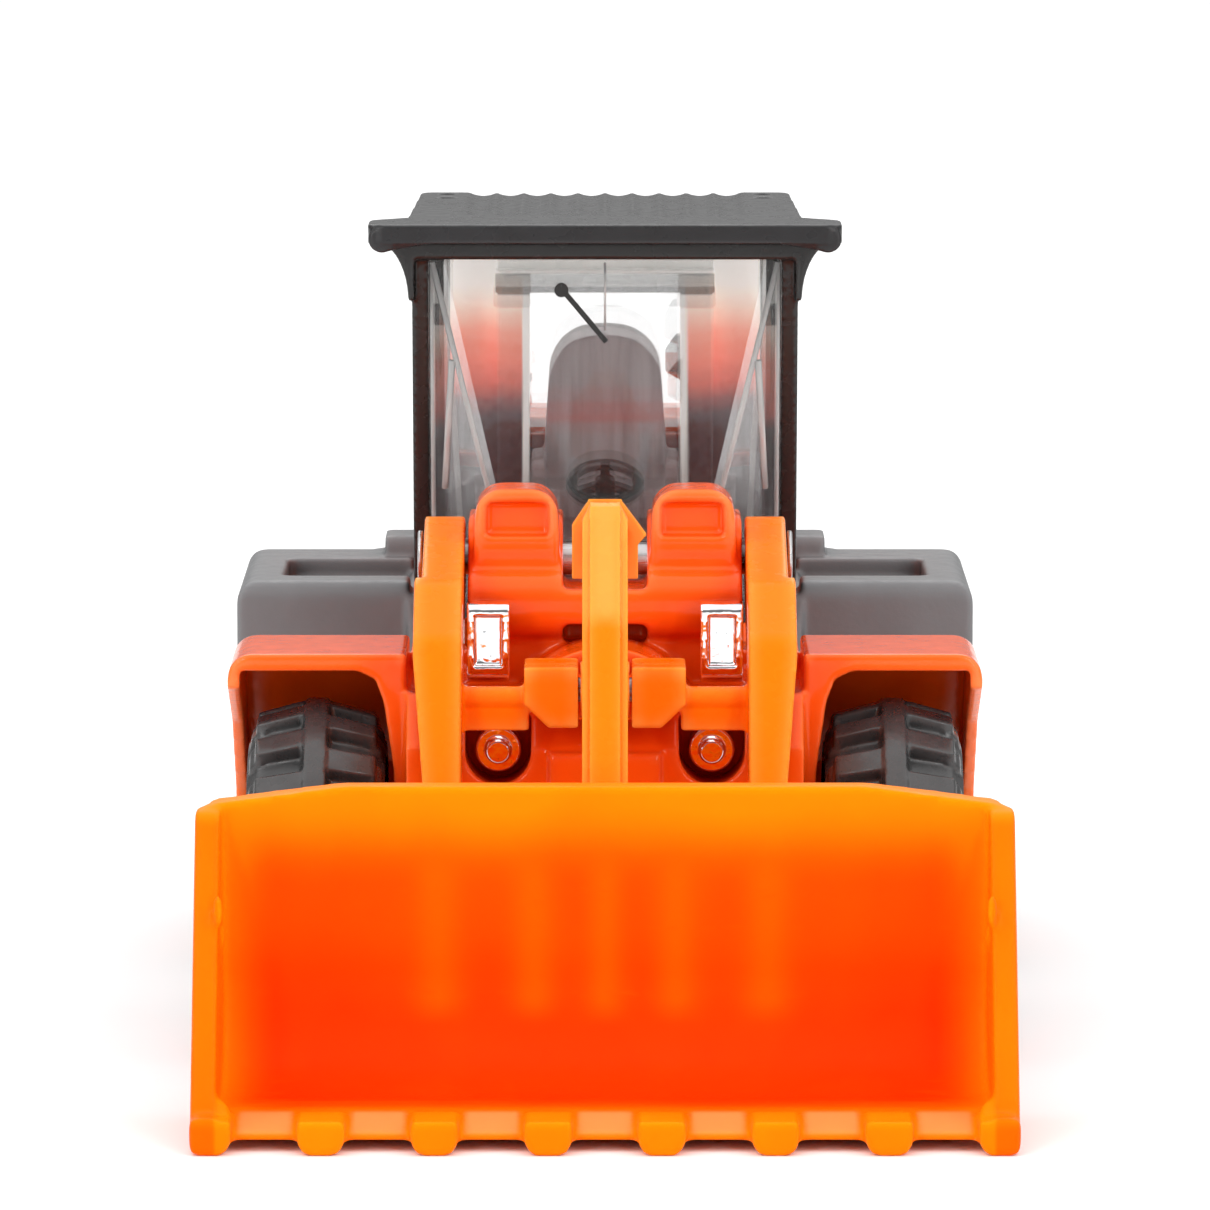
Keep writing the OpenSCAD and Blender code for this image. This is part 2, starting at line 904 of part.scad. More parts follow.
module rear_body() {
    color(paint_orange)
        difference() {
            union() {
                difference() {
                    hood_block(0);
                    hood_block(0.9);
                }
                plate(deck_z[0], deck_z[1])
                    deck_outline();
                block([-hood_half, hood_half], [6, hood_front + 0.5], [tub_top, deck_z[1]]);
                // Screw posts
                rod_z(post_r, block_bottom, tub_top + 1, 0, rear_post_y[0]);
                rod_z(post_r, block_bottom, 22.9, 0, rear_post_y[1]);
            }
            // Recess for the grille
            block([-6.7, 6.7], [hood_rear - 1, hood_rear + 1], [16.95, 20.6]);
            // Side recesses for the vents
            both_sides()
                block([hood_half - 0.35, hood_half + 1], [20.6, 30.2], [17.4, 20.6]);
            // Panel lines across the bonnet
            for (y = [18.6, 31.2])
                block([-9, 9], [y, y + 0.22], [lookup(y, hood_top) - 0.3, 25]);
            for (y = rear_post_y)
                rod_z(screw_r, 0, 9.5, 0, y);
            rod_z(1, 22, 30, xy_exhaust[0], xy_exhaust[1]);
            rod_z(0.8, 22, 30, xy_precleaner[0], xy_precleaner[1]);
        }
}

module hood_vent() {
    vent_y = [20.7, 30.1];
    color(plastic_black)
        difference() {
            block([hood_half - 0.35, hood_half + 0.1], vent_y, [17.5, 20.5]);
            for (i = [0:5])
                block(
                    [hood_half - 0.12, hood_half + 1],
                    [vent_y[0] + 0.4, vent_y[1] - 0.4],
                    [17.75 + i * 0.46, 17.95 + i * 0.46]
                );
        }
}

module counterweight() {
    half = 11;
    color(plastic_grey)
        difference() {
            plate(4.2, 15.9)
                rounded(0.9)
                    polygon([
                        [-half, tub_rear], [half, tub_rear], [half, 33.6], [8.8, 36.6],
                        [-8.8, 36.6], [-half, 33.6]
                    ]);
            // Undercut towards the bottom
            slab(-half - 1, half + 1)
                polygon([[38, 9], [36, 4], [38, 4]]);
            // Sunk panel across the back
            wall(36.2, 38)
                rounded(0.6)
                    polygon([[-5, 7.4], [5, 7.4], [5, 12], [-5, 12]]);
            both_sides()
                rod_y(tail_lamp_r, 36.1, 38, xz_tail_lamp[0], xz_tail_lamp[1]);
        }
}

module rear_grille() {
    color(plastic_black)
        difference() {
            block([-6.7, 6.7], [hood_rear - 1, hood_rear + 0.6], [16.95, 20.6]);
            for (i = [0:4])
                block([-6.2, 6.2], [hood_rear + 0.2, hood_rear + 2], [17.3 + i * 0.66, 17.6 + i * 0.66]);
        }
}

module tail_lamps() {
    color(lamp_red)
        both_sides()
            rod_y(tail_lamp_r, 36.1, 36.95, xz_tail_lamp[0], xz_tail_lamp[1]);
}

// ---- Cab ----

module cab_side_outline() {
    polygon([[1, 16.6], [cab_rear, 16.6], [cab_rear, cab_top], [-2.9, cab_top]]);
}

// The hollow-curved bracket that carries one end of the brow.
module brow_bracket() {
    size = [1.6, 2.6];
    thick = 0.15;
    wall(-3.2, -1.4)
        polygon(concat(
            [[cab_half - 0.1, cab_top - size[1]], [cab_half - 0.1, cab_top]],
            [
                for (a = [90:7.5:180])
                    [cab_half + thick + size[0] * (1 + cos(a)), cab_top - size[1] * (1 - sin(a))]
            ]
        ));
}

module cab_frame() {
    door = [[1.3, 20.6], [6.2, 20.6], [6.2, cab_top - 0.9], [-1.75, cab_top - 0.9]];
    quarter = [[7, 20.6], [11.5, 20.6], [11.5, cab_top - 0.9], [7, cab_top - 0.9]];
    color(plastic_black)
        difference() {
            union() {
                both_sides() {
                    slab(cab_half - pillar_t, cab_half)
                        difference() {
                            cab_side_outline();
                            rounded(0.5)
                                polygon(door);
                            rounded(0.5)
                                polygon(quarter);
                        }
                    brow_bracket();
                }
                block([-cab_half, cab_half], [11.9, cab_rear], [16.6, cab_top]);
                // Header over the windscreen
                block([-cab_half, cab_half], [-3.2, cab_rear], [glass_z[1] + 0.05, cab_top]);
                plate(deck_z[1], glass_z[0] - 0.05)
                    deck_outline();
            }
            block([rear_window[0][0], rear_window[1][0]], [11, 13], [rear_window[0][1], rear_window[1][1]]);
        }
}

// The glazing's outer form, or with `inset` its inner one: a tapered windscreen between two
// corner panes that are triangles, and flat sides.
module glass_form(inset, z0, z1, rear) {
    half = glass_half - inset;
    bottom = [
        [-3.7 + inset / 2, -2.1 + inset], [3.7 - inset / 2, -2.1 + inset],
        [half, 0.8 + inset / 3], [half, rear], [-half, rear], [-half, 0.8 + inset / 3]
    ];
    top = [[-half, -2.85 + inset], [half, -2.85 + inset], [half, rear], [-half, rear]];
    polyhedron(
        points = concat(
            [for (p = bottom) [p[0], p[1], z0]],
            [for (p = top) [p[0], p[1], z1]]
        ),
        faces = [
            [0, 1, 2, 3, 4, 5], [9, 8, 7, 6], [0, 6, 7, 1], [1, 7, 2], [2, 7, 8, 3],
            [3, 8, 9, 4], [4, 9, 6, 5], [5, 6, 0]
        ]
    );
}

module cab_glass() {
    pane = 0.6;
    color(clear)
        difference() {
            glass_form(0, glass_z[0], glass_z[1], 11.85);
            glass_form(pane, glass_z[0] - 0.01, glass_z[1] + 0.01, 13);
        }
}

module cab_roof() {
    brow = brow_w / 2;
    flute_pitch = 1.19;
    flute_r = 1.3;
    color(plastic_grey)
        difference() {
            union() {
                plate(cab_top, roof_z)
                    rounded(0.6)
                        polygon([
                            [-brow, -5.4], [brow, -5.4], [brow, -2.6], [8.4, -1.2], [8.1, 13.2],
                            [-8.1, 13.2], [-8.4, -1.2], [-brow, -2.6]
                        ]);
                // The brow's ends are thicker, and round
                both_sides() {
                    rod_y(0.58, -5.35, -3.3, brow - 0.6, cab_top + 0.19);
                    wall(-5.3, -3.35)
                        polygon([
                            [brow - 2.6, roof_z - 0.2], [brow - 2.6, cab_top - 0.02],
                            [brow - 0.8, cab_top - 0.34], [brow - 0.6, roof_z - 0.2]
                        ]);
                }
            }
            for (i = [0:flute_count - 1])
                translate([(i - (flute_count - 1) / 2) * flute_pitch, 0, roof_z + flute_r - 0.16])
                    rotate([-90, 0, 0])
                        cylinder(r = flute_r, h = 20);
            both_sides()
                for (y = [10, 12.1])
                    rod_z(0.35, roof_z - 0.3, roof_z + 1, 6.9, y);
            // Drip channel behind the brow's front edge
            block([-brow + 0.6, brow - 0.6], [-4.8, -4.4], [cab_top - 1, cab_top + 0.3]);
        }
}

// The lining inside the cab's back wall, with raised posts round the rear window.
module cab_bulkhead() {
    color(plastic_orange)
        difference() {
            union() {
                block([-6.8, 6.8], [11.2, 11.85], [glass_z[0], glass_z[1]]);
                both_sides()
                    block([3.3, 4.7], [10.5, 11.3], [glass_z[0], rear_window[1][1]]);
                block([-4.8, 4.8], [10.3, 11.3], [rear_window[1][1], 30.8]);
            }
            block([rear_window[0][0], rear_window[1][0]], [9, 13], [rear_window[0][1], rear_window[1][1]]);
        }
}

module driver_seat() {
    seat_z = [glass_z[0], 20.6];
    color(plastic_black)
        union() {
            block([-1.9, 1.9], [4.6, 8.4], seat_z);
            plate(seat_z[1], 21.9)
                rounded(0.7)
                    polygon([[-2.6, 3.4], [2.6, 3.4], [2.6, 8.8], [-2.6, 8.8]]);
            wall(7.4, 9)
                rounded(2)
                    polygon([[-2.8, 21], [-2.3, 28.6], [2.3, 28.6], [2.8, 21]]);
            both_sides()
                block([2.55, 3.2], [4.4, 8.4], [22.6, 23.2]);
            both_sides()
                block([2.5, 3.2], [7.6, 8.4], [21.2, 23.2]);
        }
}

module steering_wheel() {
    column_tilt = 28;
    color(plastic_black)
        translate([0, 1.9, 22.3])
            rotate([column_tilt, 0, 0])
                union() {
                    rotate_extrude()
                        translate([1.45, 0])
                            circle(r = 0.25, $fn = 24);
                    for (turn = [0, 120, 240])
                        rotate([0, 0, turn + 90])
                            translate([0, -0.2, -0.15])
                                cube([1.4, 0.4, 0.3]);
                    translate([0, 0, -5.2])
                        cylinder(r = 0.42, h = 5.4);
                }
}

// One sweep of the wiper on the windscreen: an arm and a blade.
module windscreen_wiper() {
    color(plastic_black)
        translate([0, -3.02, -0.45])
            union() {
                translate([0.05, -0.1, 29.3])
                    rotate([0, -40, 0])
                        translate([-0.11, 0, 0])
                            cube([0.22, 0.22, 2.9]);
                rod_y(0.3, -0.12, 0.2, -1.85, 31.5);
            }
}

module exhaust_stack() {
    stack_top = 28.9;
    bore_depth = 1.5;
    color(chrome)
        difference() {
            union() {
                rod_z(1, 22.9, 24.9, xy_exhaust[0], xy_exhaust[1]);
                rod_z(0.72, 24, stack_top, xy_exhaust[0], xy_exhaust[1]);
            }
            rod_z(0.5, stack_top - bore_depth, 30, xy_exhaust[0], xy_exhaust[1]);
        }
}

module air_precleaner() {
    color(plastic_black)
        translate([xy_precleaner[0], xy_precleaner[1], 0])
            rotate_extrude()
                polygon([
                    [0, 22.9], [0.8, 22.9], [0.8, 25], [1.5, 25.4], [1.5, 26.4], [1.3, 26.7],
                    [1, 27.1], [0, 27.3]
                ]);
}

// ---- Wheels ----

module axle(y) {
    half = track / 2 + 1.9;
    color(steel)
        rod_x(axle_r, -half, half, [y, tyre_r]);
}

// Puts a wheel part, drawn round its own Z axis with the outside up, on one side of an axle.
module on_axle(side, y) {
    translate([side * track / 2, y, tyre_r])
        rotate([0, side * 90, 0])
            children();
}

rim_r = 4.3;

module hub(side, y) {
    color(paint_orange)
        on_axle(side, y)
            union() {
                rotate_extrude()
                    polygon([
                        [axle_r, -2.3], [1.8, -2.3], [1.8, -1.4], [3.4, -1.4], [3.6, -2.4],
                        [rim_r, -2.4], [rim_r, 2.4], [3.7, 2.4], [3.4, 1.2], [1.9, 0.8],
                        [1.7, 1.7], [1.4, 1.9], [axle_r, 1.9]
                    ]);
                for (turn = [0:60:300])
                    rotate([0, 0, turn])
                        translate([2.6, 0, 0.8])
                            cylinder(r = 0.3, h = 0.65);
            }
}

// The outline of one row of lugs: blocks with gaps between them, started at `phase` degrees.
module lug_row(phase) {
    lug_share = 0.56;
    pitch = 360 / lug_count;
    top = tyre_r - 0.12;
    root = tyre_r - 0.85;
    polygon([
        for (i = [0:lug_count - 1])
            for (corner = [[root, 0], [top, 0.05], [top, lug_share - 0.05], [root, lug_share]])
                let (a = phase + pitch * (i + corner[1] - lug_share / 2))
                corner[0] * [cos(a), sin(a)]
    ]);
}

module tyre(side, y) {
    half = tyre_w / 2;
    rib = 0.55;
    carcass = tyre_r - 0.8;
    color(rubber_black)
        on_axle(side, y)
            difference() {
                union() {
                    rotate_extrude()
                        polygon([
                            [rim_r, -half + 0.5], [5, -half], [6, -half], [carcass, -half + 0.5],
                            [carcass, -rib], [tyre_r, -rib + 0.1], [tyre_r, rib - 0.1],
                            [carcass, rib], [carcass, half - 0.5], [6, half], [5, half],
                            [rim_r, half - 0.5]
                        ]);
                    for (row = [[-half + 0.35, -rib + 0.05, 0], [rib - 0.05, half - 0.35, 0.5]])
                        translate([0, 0, row[0]])
                            linear_extrude(row[1] - row[0])
                                lug_row(360 / lug_count * row[2]);
                }
                cylinder(r = rim_r, h = 20, center = true);
            }
}

front_frame();
front_base();
headlight();  // headlight_left
mirror([1, 0, 0]) headlight();  // headlight_right
lift_rams();
lift_pin();
front_base_screw();
lift_arm();
lever_pin();
tilt_lever();
link_pin(yz_link_top, link_half);  // link_top_pin
tilt_link();
bucket();
bucket_pins();
link_pin(yz_link_bottom, lug_out);  // link_bottom_pin
rear_chassis();
rear_base();
rear_body();
counterweight();
rear_grille();
hood_vent();  // hood_vent_left
mirror([1, 0, 0]) hood_vent();  // hood_vent_right
tail_lamps();
kingpin();
rear_base_screws();
cab_frame();
cab_glass();
cab_roof();
cab_bulkhead();
driver_seat();
steering_wheel();
windscreen_wiper();
exhaust_stack();
air_precleaner();
axle(front_axle_y);  // front_axle
hub(1, front_axle_y);  // front_hub_left
hub(-1, front_axle_y);  // front_hub_right
tyre(1, front_axle_y);  // front_tyre_left
tyre(-1, front_axle_y);  // front_tyre_right
axle(rear_axle_y);  // rear_axle
hub(1, rear_axle_y);  // rear_hub_left
hub(-1, rear_axle_y);  // rear_hub_right
tyre(1, rear_axle_y);  // rear_tyre_left
tyre(-1, rear_axle_y);  // rear_tyre_right
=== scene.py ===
import json
import math

import bmesh
import bpy
import numpy as np
from mathutils import Matrix, Vector


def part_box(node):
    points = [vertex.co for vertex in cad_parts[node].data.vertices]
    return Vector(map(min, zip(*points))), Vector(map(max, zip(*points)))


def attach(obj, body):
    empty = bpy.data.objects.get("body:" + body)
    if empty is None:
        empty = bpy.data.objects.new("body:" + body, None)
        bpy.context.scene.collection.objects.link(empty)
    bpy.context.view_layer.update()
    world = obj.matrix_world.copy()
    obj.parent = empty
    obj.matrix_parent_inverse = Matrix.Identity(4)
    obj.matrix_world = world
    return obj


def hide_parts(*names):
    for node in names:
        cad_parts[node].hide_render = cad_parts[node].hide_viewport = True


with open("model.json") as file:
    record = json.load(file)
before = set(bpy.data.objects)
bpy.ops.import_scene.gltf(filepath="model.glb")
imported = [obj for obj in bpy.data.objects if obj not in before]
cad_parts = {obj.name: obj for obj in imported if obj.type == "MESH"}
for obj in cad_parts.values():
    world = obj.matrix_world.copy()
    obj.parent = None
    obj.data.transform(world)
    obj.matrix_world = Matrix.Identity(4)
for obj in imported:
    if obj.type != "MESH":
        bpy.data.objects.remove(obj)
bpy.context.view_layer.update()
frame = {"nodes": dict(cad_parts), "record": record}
nodes = frame["nodes"]
scene = bpy.context.scene
BODIES = frame["record"]["behaviour"]["bodies"]

# Lengths in this script are in millimetres, and MM takes them to metres
MM = 0.001
LUGS = 18
CAMERA_BACK = 408
CAMERA_HEIGHT = 65.5
CAMERA_DIP = 6.745
OVERHEAD_LIGHT = 1.3


# ---- Camera: a long lens, a little above the toy and looking along +Y ----

camera_data = bpy.data.cameras.new("camera")
camera_data.sensor_width = 36
camera_data.lens = 285.1
camera_data.clip_start = 0.02
camera = bpy.data.objects.new("camera", camera_data)
camera.location = (0, -CAMERA_BACK * MM, CAMERA_HEIGHT * MM)
camera.rotation_euler = (math.radians(90 - CAMERA_DIP), 0, 0)
scene.collection.objects.link(camera)
scene.camera = camera
scene.view_settings.view_transform = "Standard"


# ---- Materials ----

class Finish:
    """A material under construction. Its patterns are in millimetres of the piece's own place."""

    def __init__(self, name, colour, rough, **sockets):
        self.material = bpy.data.materials.new(name)
        self.material.use_nodes = True
        self.tree = self.material.node_tree
        self.shader = self.tree.nodes["Principled BSDF"]
        self.wire(self.shader, "Base Color", (*colour, 1))
        self.wire(self.shader, "Roughness", rough)
        for socket, value in sockets.items():
            self.wire(self.shader, socket.replace("_", " "), value)
        place = self.add("ShaderNodeTexCoord").outputs["Object"]
        scaled = self.add("ShaderNodeVectorMath", operation="SCALE", Vector=place, Scale=1 / MM)
        self.mm = scaled.outputs[0]
        split = self.add("ShaderNodeSeparateXYZ", Vector=self.mm)
        self.x, self.y, self.z = split.outputs

    def wire(self, node, socket, value):
        """Sets an input, or links it when value is another node's output."""
        target = node.inputs[socket]
        if isinstance(value, bpy.types.NodeSocket):
            self.tree.links.new(value, target)
        else:
            target.default_value = value

    def add(self, kind, operation=None, **inputs):
        """A new node. In the inputs' names an underscore stands for a space."""
        node = self.tree.nodes.new(kind)
        if operation:
            node.operation = operation
        for socket, value in inputs.items():
            self.wire(node, socket.replace("_", " "), value)
        return node

    def noise(self, scale, detail=3, stretch=(1, 1, 1)):
        """Noise with about `scale` lumps to the millimetre, 0 to 1."""
        vector = self.add("ShaderNodeVectorMath", operation="MULTIPLY", Vector=self.mm)
        vector.inputs[1].default_value = stretch
        node = self.add("ShaderNodeTexNoise", Vector=vector.outputs[0], Scale=scale, Detail=detail)
        return node.outputs["Fac"]

    def math(self, operation, a, b=0.0):
        node = self.tree.nodes.new("ShaderNodeMath")
        node.operation = operation
        self.wire(node, 0, a)
        self.wire(node, 1, b)
        return node.outputs[0]

    def ramp(self, value, low, high, out_low=0.0, out_high=1.0, smooth=True):
        """Takes value from low..high to out_low..out_high and holds it there beyond them."""
        node = self.add("ShaderNodeMapRange", Value=value, From_Min=low, From_Max=high)
        self.wire(node, "To Min", out_low)
        self.wire(node, "To Max", out_high)
        node.interpolation_type = "SMOOTHSTEP" if smooth else "LINEAR"
        return node.outputs[0]

    def band(self, value, low, high, soft=0.06):
        """1 where value lies between low and high, fading to 0 over a soft edge."""
        above = self.ramp(value, low - soft, low + soft)
        below = self.ramp(value, high + soft, high - soft)
        return self.math("MULTIPLY", above, below)

    def blend(self, share, a, b):
        """The colour a where share is 0, and b where it is 1."""
        node = self.tree.nodes.new("ShaderNodeMix")
        node.data_type = "RGBA"
        node.clamp_factor = True
        self.wire(node, 0, share)
        self.wire(node, 6, a if isinstance(a, bpy.types.NodeSocket) else (*a[:3], 1))
        self.wire(node, 7, b if isinstance(b, bpy.types.NodeSocket) else (*b[:3], 1))
        return node.outputs[2]

    def colours(self, value, stops):
        """A colour ramp through (position, colour) stops."""
        node = self.add("ShaderNodeValToRGB", Fac=value)
        elements = node.color_ramp.elements
        for place, colour in stops[2:]:
            elements.new(place)
        for element, (place, colour) in zip(elements, stops):
            element.position = place
            element.color = (*colour, 1)
        return node.outputs["Color"]

    def crevice(self, distance, inside=False):
        """1 in the open and towards 0 in corners, or with inside 1 on flats and 0 on sharp edges."""
        node = self.add("ShaderNodeAmbientOcclusion", Distance=distance * MM)
        node.samples = 4
        node.inside = inside
        return node.outputs["AO"]

    def attribute(self, name):
        """A value that the mesh holds at each vertex."""
        node = self.tree.nodes.new("ShaderNodeAttribute")
        node.attribute_name = name
        return node.outputs["Fac"]

    def paint(self, colour):
        self.wire(self.shader, "Base Color", colour)

    def roughen(self, share, low, high):
        """Roughness from low to high, as share goes from 0.3 to 0.7."""
        self.wire(self.shader, "Roughness", self.ramp(share, 0.3, 0.7, low, high, smooth=False))

    def bump(self, *layers):
        """Adds relief: each layer is (height, depth in millimetres)."""
        normal = None
        for height, depth in layers:
            node = self.add("ShaderNodeBump", Height=height, Strength=1.0, Distance=depth * MM)
            if normal:
                self.wire(node, "Normal", normal)
            normal = node.outputs["Normal"]
        self.wire(self.shader, "Normal", normal)


def enamel():
    """Glossy orange enamel with a little orange peel. Painted shade makes it darker red in the corners, and
    a painted highlight makes its sharp edges lighter.
    """
    base = (0.97, 0.105, 0.004)
    f = Finish(
        "orange_enamel", base, 0.22, Coat_Weight=0.25, Coat_Roughness=0.05, Specular_IOR_Level=0.3,
        Specular_Tint=(1, 0.6, 0.35, 1)
    )
    # Painted shade: darker red in the corners
    corner_shade = f.ramp(f.crevice(1.6), 0.2, 0.95)
    # Painted highlight: lighter orange on the sharp edges
    thin = f.ramp(f.crevice(0.55, inside=True), 0.85, 0.3)
    body = f.blend(corner_shade, (0.58, 0.022, 0.001), base)
    body = f.blend(f.math("MULTIPLY", f.noise(0.35), 0.25), body, (1.0, 0.13, 0.004))
    f.paint(f.blend(thin, body, (1.0, 0.27, 0.08)))
    f.roughen(f.noise(1.2), 0.14, 0.26)
    f.bump((f.noise(1.6, 2), 0.012), (f.noise(9, 2), 0.0015))
    return f.material


def orange_plastic():
    """Moulded orange plastic that lets a little light in. A painted highlight makes its sharp edges and
    thin places yellow, and painted shade makes its corners redder.
    """
    base = (1.0, 0.19, 0.001)
    f = Finish(
        "orange_plastic", base, 0.25, Subsurface_Weight=0.25, Subsurface_Scale=0.0012,
        Specular_IOR_Level=0.25, Specular_Tint=(1, 0.55, 0.15, 1)
    )
    f.shader.inputs["Subsurface Radius"].default_value = (1.0, 0.45, 0.1)
    # Painted highlight: yellow on the sharp edges and thin places
    thin = f.ramp(f.crevice(0.7, inside=True), 0.9, 0.35)
    # Painted shade: redder in the corners
    corner = f.ramp(f.crevice(2.2), 0.15, 0.9)
    body = f.blend(corner, (1.0, 0.09, 0.0), base)
    f.paint(f.blend(thin, body, (1.0, 0.34, 0.06)))
    f.roughen(f.noise(0.8), 0.2, 0.32)
    f.bump((f.noise(0.9, 2), 0.012), (f.noise(7, 3), 0.002))
    return f.material


def bucket_plastic():
    """The same plastic in the bucket, with painted shade turning it deep red down in the hollow, painted
    light through the shell and painted highlights on the cutting edge.
    """
    f = Finish(
        "bucket_plastic", (1.0, 0.2, 0.001), 0.4, Subsurface_Weight=0.15, Subsurface_Scale=0.0012,
        Specular_IOR_Level=0.15, Specular_Tint=(1, 0.45, 0.1, 1)
    )
    f.shader.inputs["Subsurface Radius"].default_value = (1.0, 0.4, 0.1)
    depth = f.attribute("depth")
    cloud = f.math("MULTIPLY", f.math("SUBTRACT", f.noise(0.22, 2, (1, 1, 0.5)), 0.5), 0.25)
    # Painted shade: yellow orange where it is shallow, red where it is deep
    tone = f.colours(f.math("ADD", depth, cloud), [
        (0.0, (1.0, 0.235, 0.001)),
        (0.25, (1.0, 0.17, 0.0005)),
        (0.55, (1.0, 0.10, 0.0)),
        (0.8, (0.98, 0.062, 0.0)),
        (1.0, (0.90, 0.036, 0.0)),
    ])
    # Painted light: lighter bands where nothing stands behind the shell
    tone = f.blend(f.math("MULTIPLY", f.attribute("glow"), 0.5), tone, (1.0, 0.15, 0.0))
    # Painted highlight on the bevelled cutting edge, between the teeth
    f.paint(f.blend(f.math("MULTIPLY", f.attribute("lip"), 0.75), tone, (1.0, 0.30, 0.09)))
    f.roughen(f.noise(0.5), 0.36, 0.5)
    f.bump((f.noise(0.6, 2), 0.03), (f.noise(6, 3), 0.003))
    return f.material


def grey_plastic():
    """Satin grey plastic with a spark-eroded grain, painted shade darkening its crevices and a painted
    highlight on its sharp edges.
    """
    base = (0.165, 0.165, 0.169)
    f = Finish("grey_plastic", base, 0.42)
    # Painted highlight: lighter on the sharp edges
    edge_highlight = f.ramp(f.crevice(0.5, inside=True), 0.85, 0.3)
    # Painted shade: darker in the crevices
    deep = f.ramp(f.crevice(1.2), 0.9, 0.3)
    body = f.blend(f.noise(0.4, 4), (0.145, 0.145, 0.149), (0.185, 0.185, 0.19))
    body = f.blend(deep, body, (0.035, 0.034, 0.034))
    f.paint(f.blend(edge_highlight, body, (0.24, 0.24, 0.245)))
    f.roughen(f.noise(1.5), 0.36, 0.5)
    f.bump((f.noise(5, 4), 0.01), (f.noise(0.5, 2), 0.03))
    return f.material


def black_plastic():
    """Glossy moulded plastic with flow marks and fine dust."""
    base = (0.017, 0.0165, 0.016)
    dusty = (0.0474, 0.0463, 0.0452)
    f = Finish("black_plastic", base, 0.2, Coat_Weight=0.15, Coat_Roughness=0.06, Specular_IOR_Level=0.3)
    f.paint(f.blend(f.ramp(f.noise(3.5, 6), 0.62, 0.85, 0, 0.35), base, dusty))
    f.roughen(f.noise(0.9, 4), 0.2, 0.32)
    f.bump((f.noise(0.7, 2, (1, 1, 0.4)), 0.04), (f.noise(8, 2), 0.003))
    return f.material


def roof_plastic():
    """Dark roof plastic, satin on the flutes, with a painted highlight along the edges."""
    f = Finish(
        "roof_plastic", (0.02, 0.02, 0.021), 0.3, Coat_Weight=0.06, Coat_Roughness=0.1,
        Specular_IOR_Level=0.25
    )
    # Painted highlight: lighter along the sharp edges
    edge_highlight = f.ramp(f.crevice(0.35, inside=True), 0.8, 0.3)
    body = f.blend(f.noise(0.5, 4), (0.012, 0.011, 0.011), (0.022, 0.022, 0.024))
    f.paint(f.blend(edge_highlight, body, (0.08, 0.08, 0.083)))
    f.roughen(f.noise(1.1), 0.22, 0.4)
    f.bump((f.noise(6, 3), 0.004), (f.noise(0.6, 2), 0.015))
    return f.material


def chrome():
    """Vacuum plating over plastic: bright, a little wavy, with a few pin holes."""
    f = Finish("chrome_plating", (0.86, 0.87, 0.89), 0.06, Metallic=1.0)
    pits = f.ramp(f.noise(9, 3), 0.66, 0.74)
    f.paint(f.blend(pits, (0.86, 0.87, 0.89), (0.35, 0.34, 0.34)))
    f.roughen(f.noise(1.5), 0.04, 0.12)
    f.bump((f.noise(1.3, 2), 0.05))
    return f.material


def steel():
    """Drawn steel wire, with fine lines along it and a dull oiled bloom."""
    f = Finish("steel", (0.55, 0.55, 0.56), 0.3, Metallic=1.0)
    lines = f.noise(14, 2, (0.05, 1, 1))
    f.paint(f.blend(f.noise(1.1, 4), (0.40, 0.39, 0.38), (0.62, 0.62, 0.63)))
    f.roughen(lines, 0.22, 0.42)
    f.bump((lines, 0.008))
    return f.material


def tyre_plastic():
    """Black tyre plastic: glossy lands with a random tone of mould dust, and painted shade making the roots
    of the grooves darker.
    """
    f = Finish("tyre_plastic", (0.014, 0.014, 0.0145), 0.28)
    # Painted shade: darker down in the grooves
    groove = f.ramp(f.crevice(1.2), 0.15, 0.8)
    body = f.blend(f.noise(1.2, 5), (0.030, 0.029, 0.029), (0.062, 0.061, 0.061))
    f.paint(f.blend(groove, (0.004, 0.0035, 0.0035), body))
    f.roughen(f.noise(2.2, 4), 0.2, 0.4)
    f.bump((f.noise(2.5, 3), 0.006), (f.noise(12, 2), 0.0015))
    return f.material


def glazing():
    """Clear moulded plastic with slight flow waves."""
    f = Finish("clear_glazing", (0.98, 0.985, 0.98), 0.02, Transmission_Weight=0.975, IOR=1.49, Alpha=0.35)
    f.bump((f.noise(0.35, 2, (1, 1, 0.3)), 0.05))
    f.roughen(f.noise(0.8, 3), 0.0, 0.03)
    return f.material


def pane_edge_highlight():
    """The clear plastic's edges, painted near white as a highlight where they would pipe light."""
    f = Finish("pane_edge_highlight", (0.9, 0.92, 0.9), 0.12, Transmission_Weight=0.55, IOR=1.49)
    f.paint(f.blend(f.noise(0.8, 3, (1, 1, 0.3)), (0.98, 0.98, 0.96), (0.55, 0.56, 0.55)))
    f.roughen(f.noise(2), 0.05, 0.2)
    return f.material


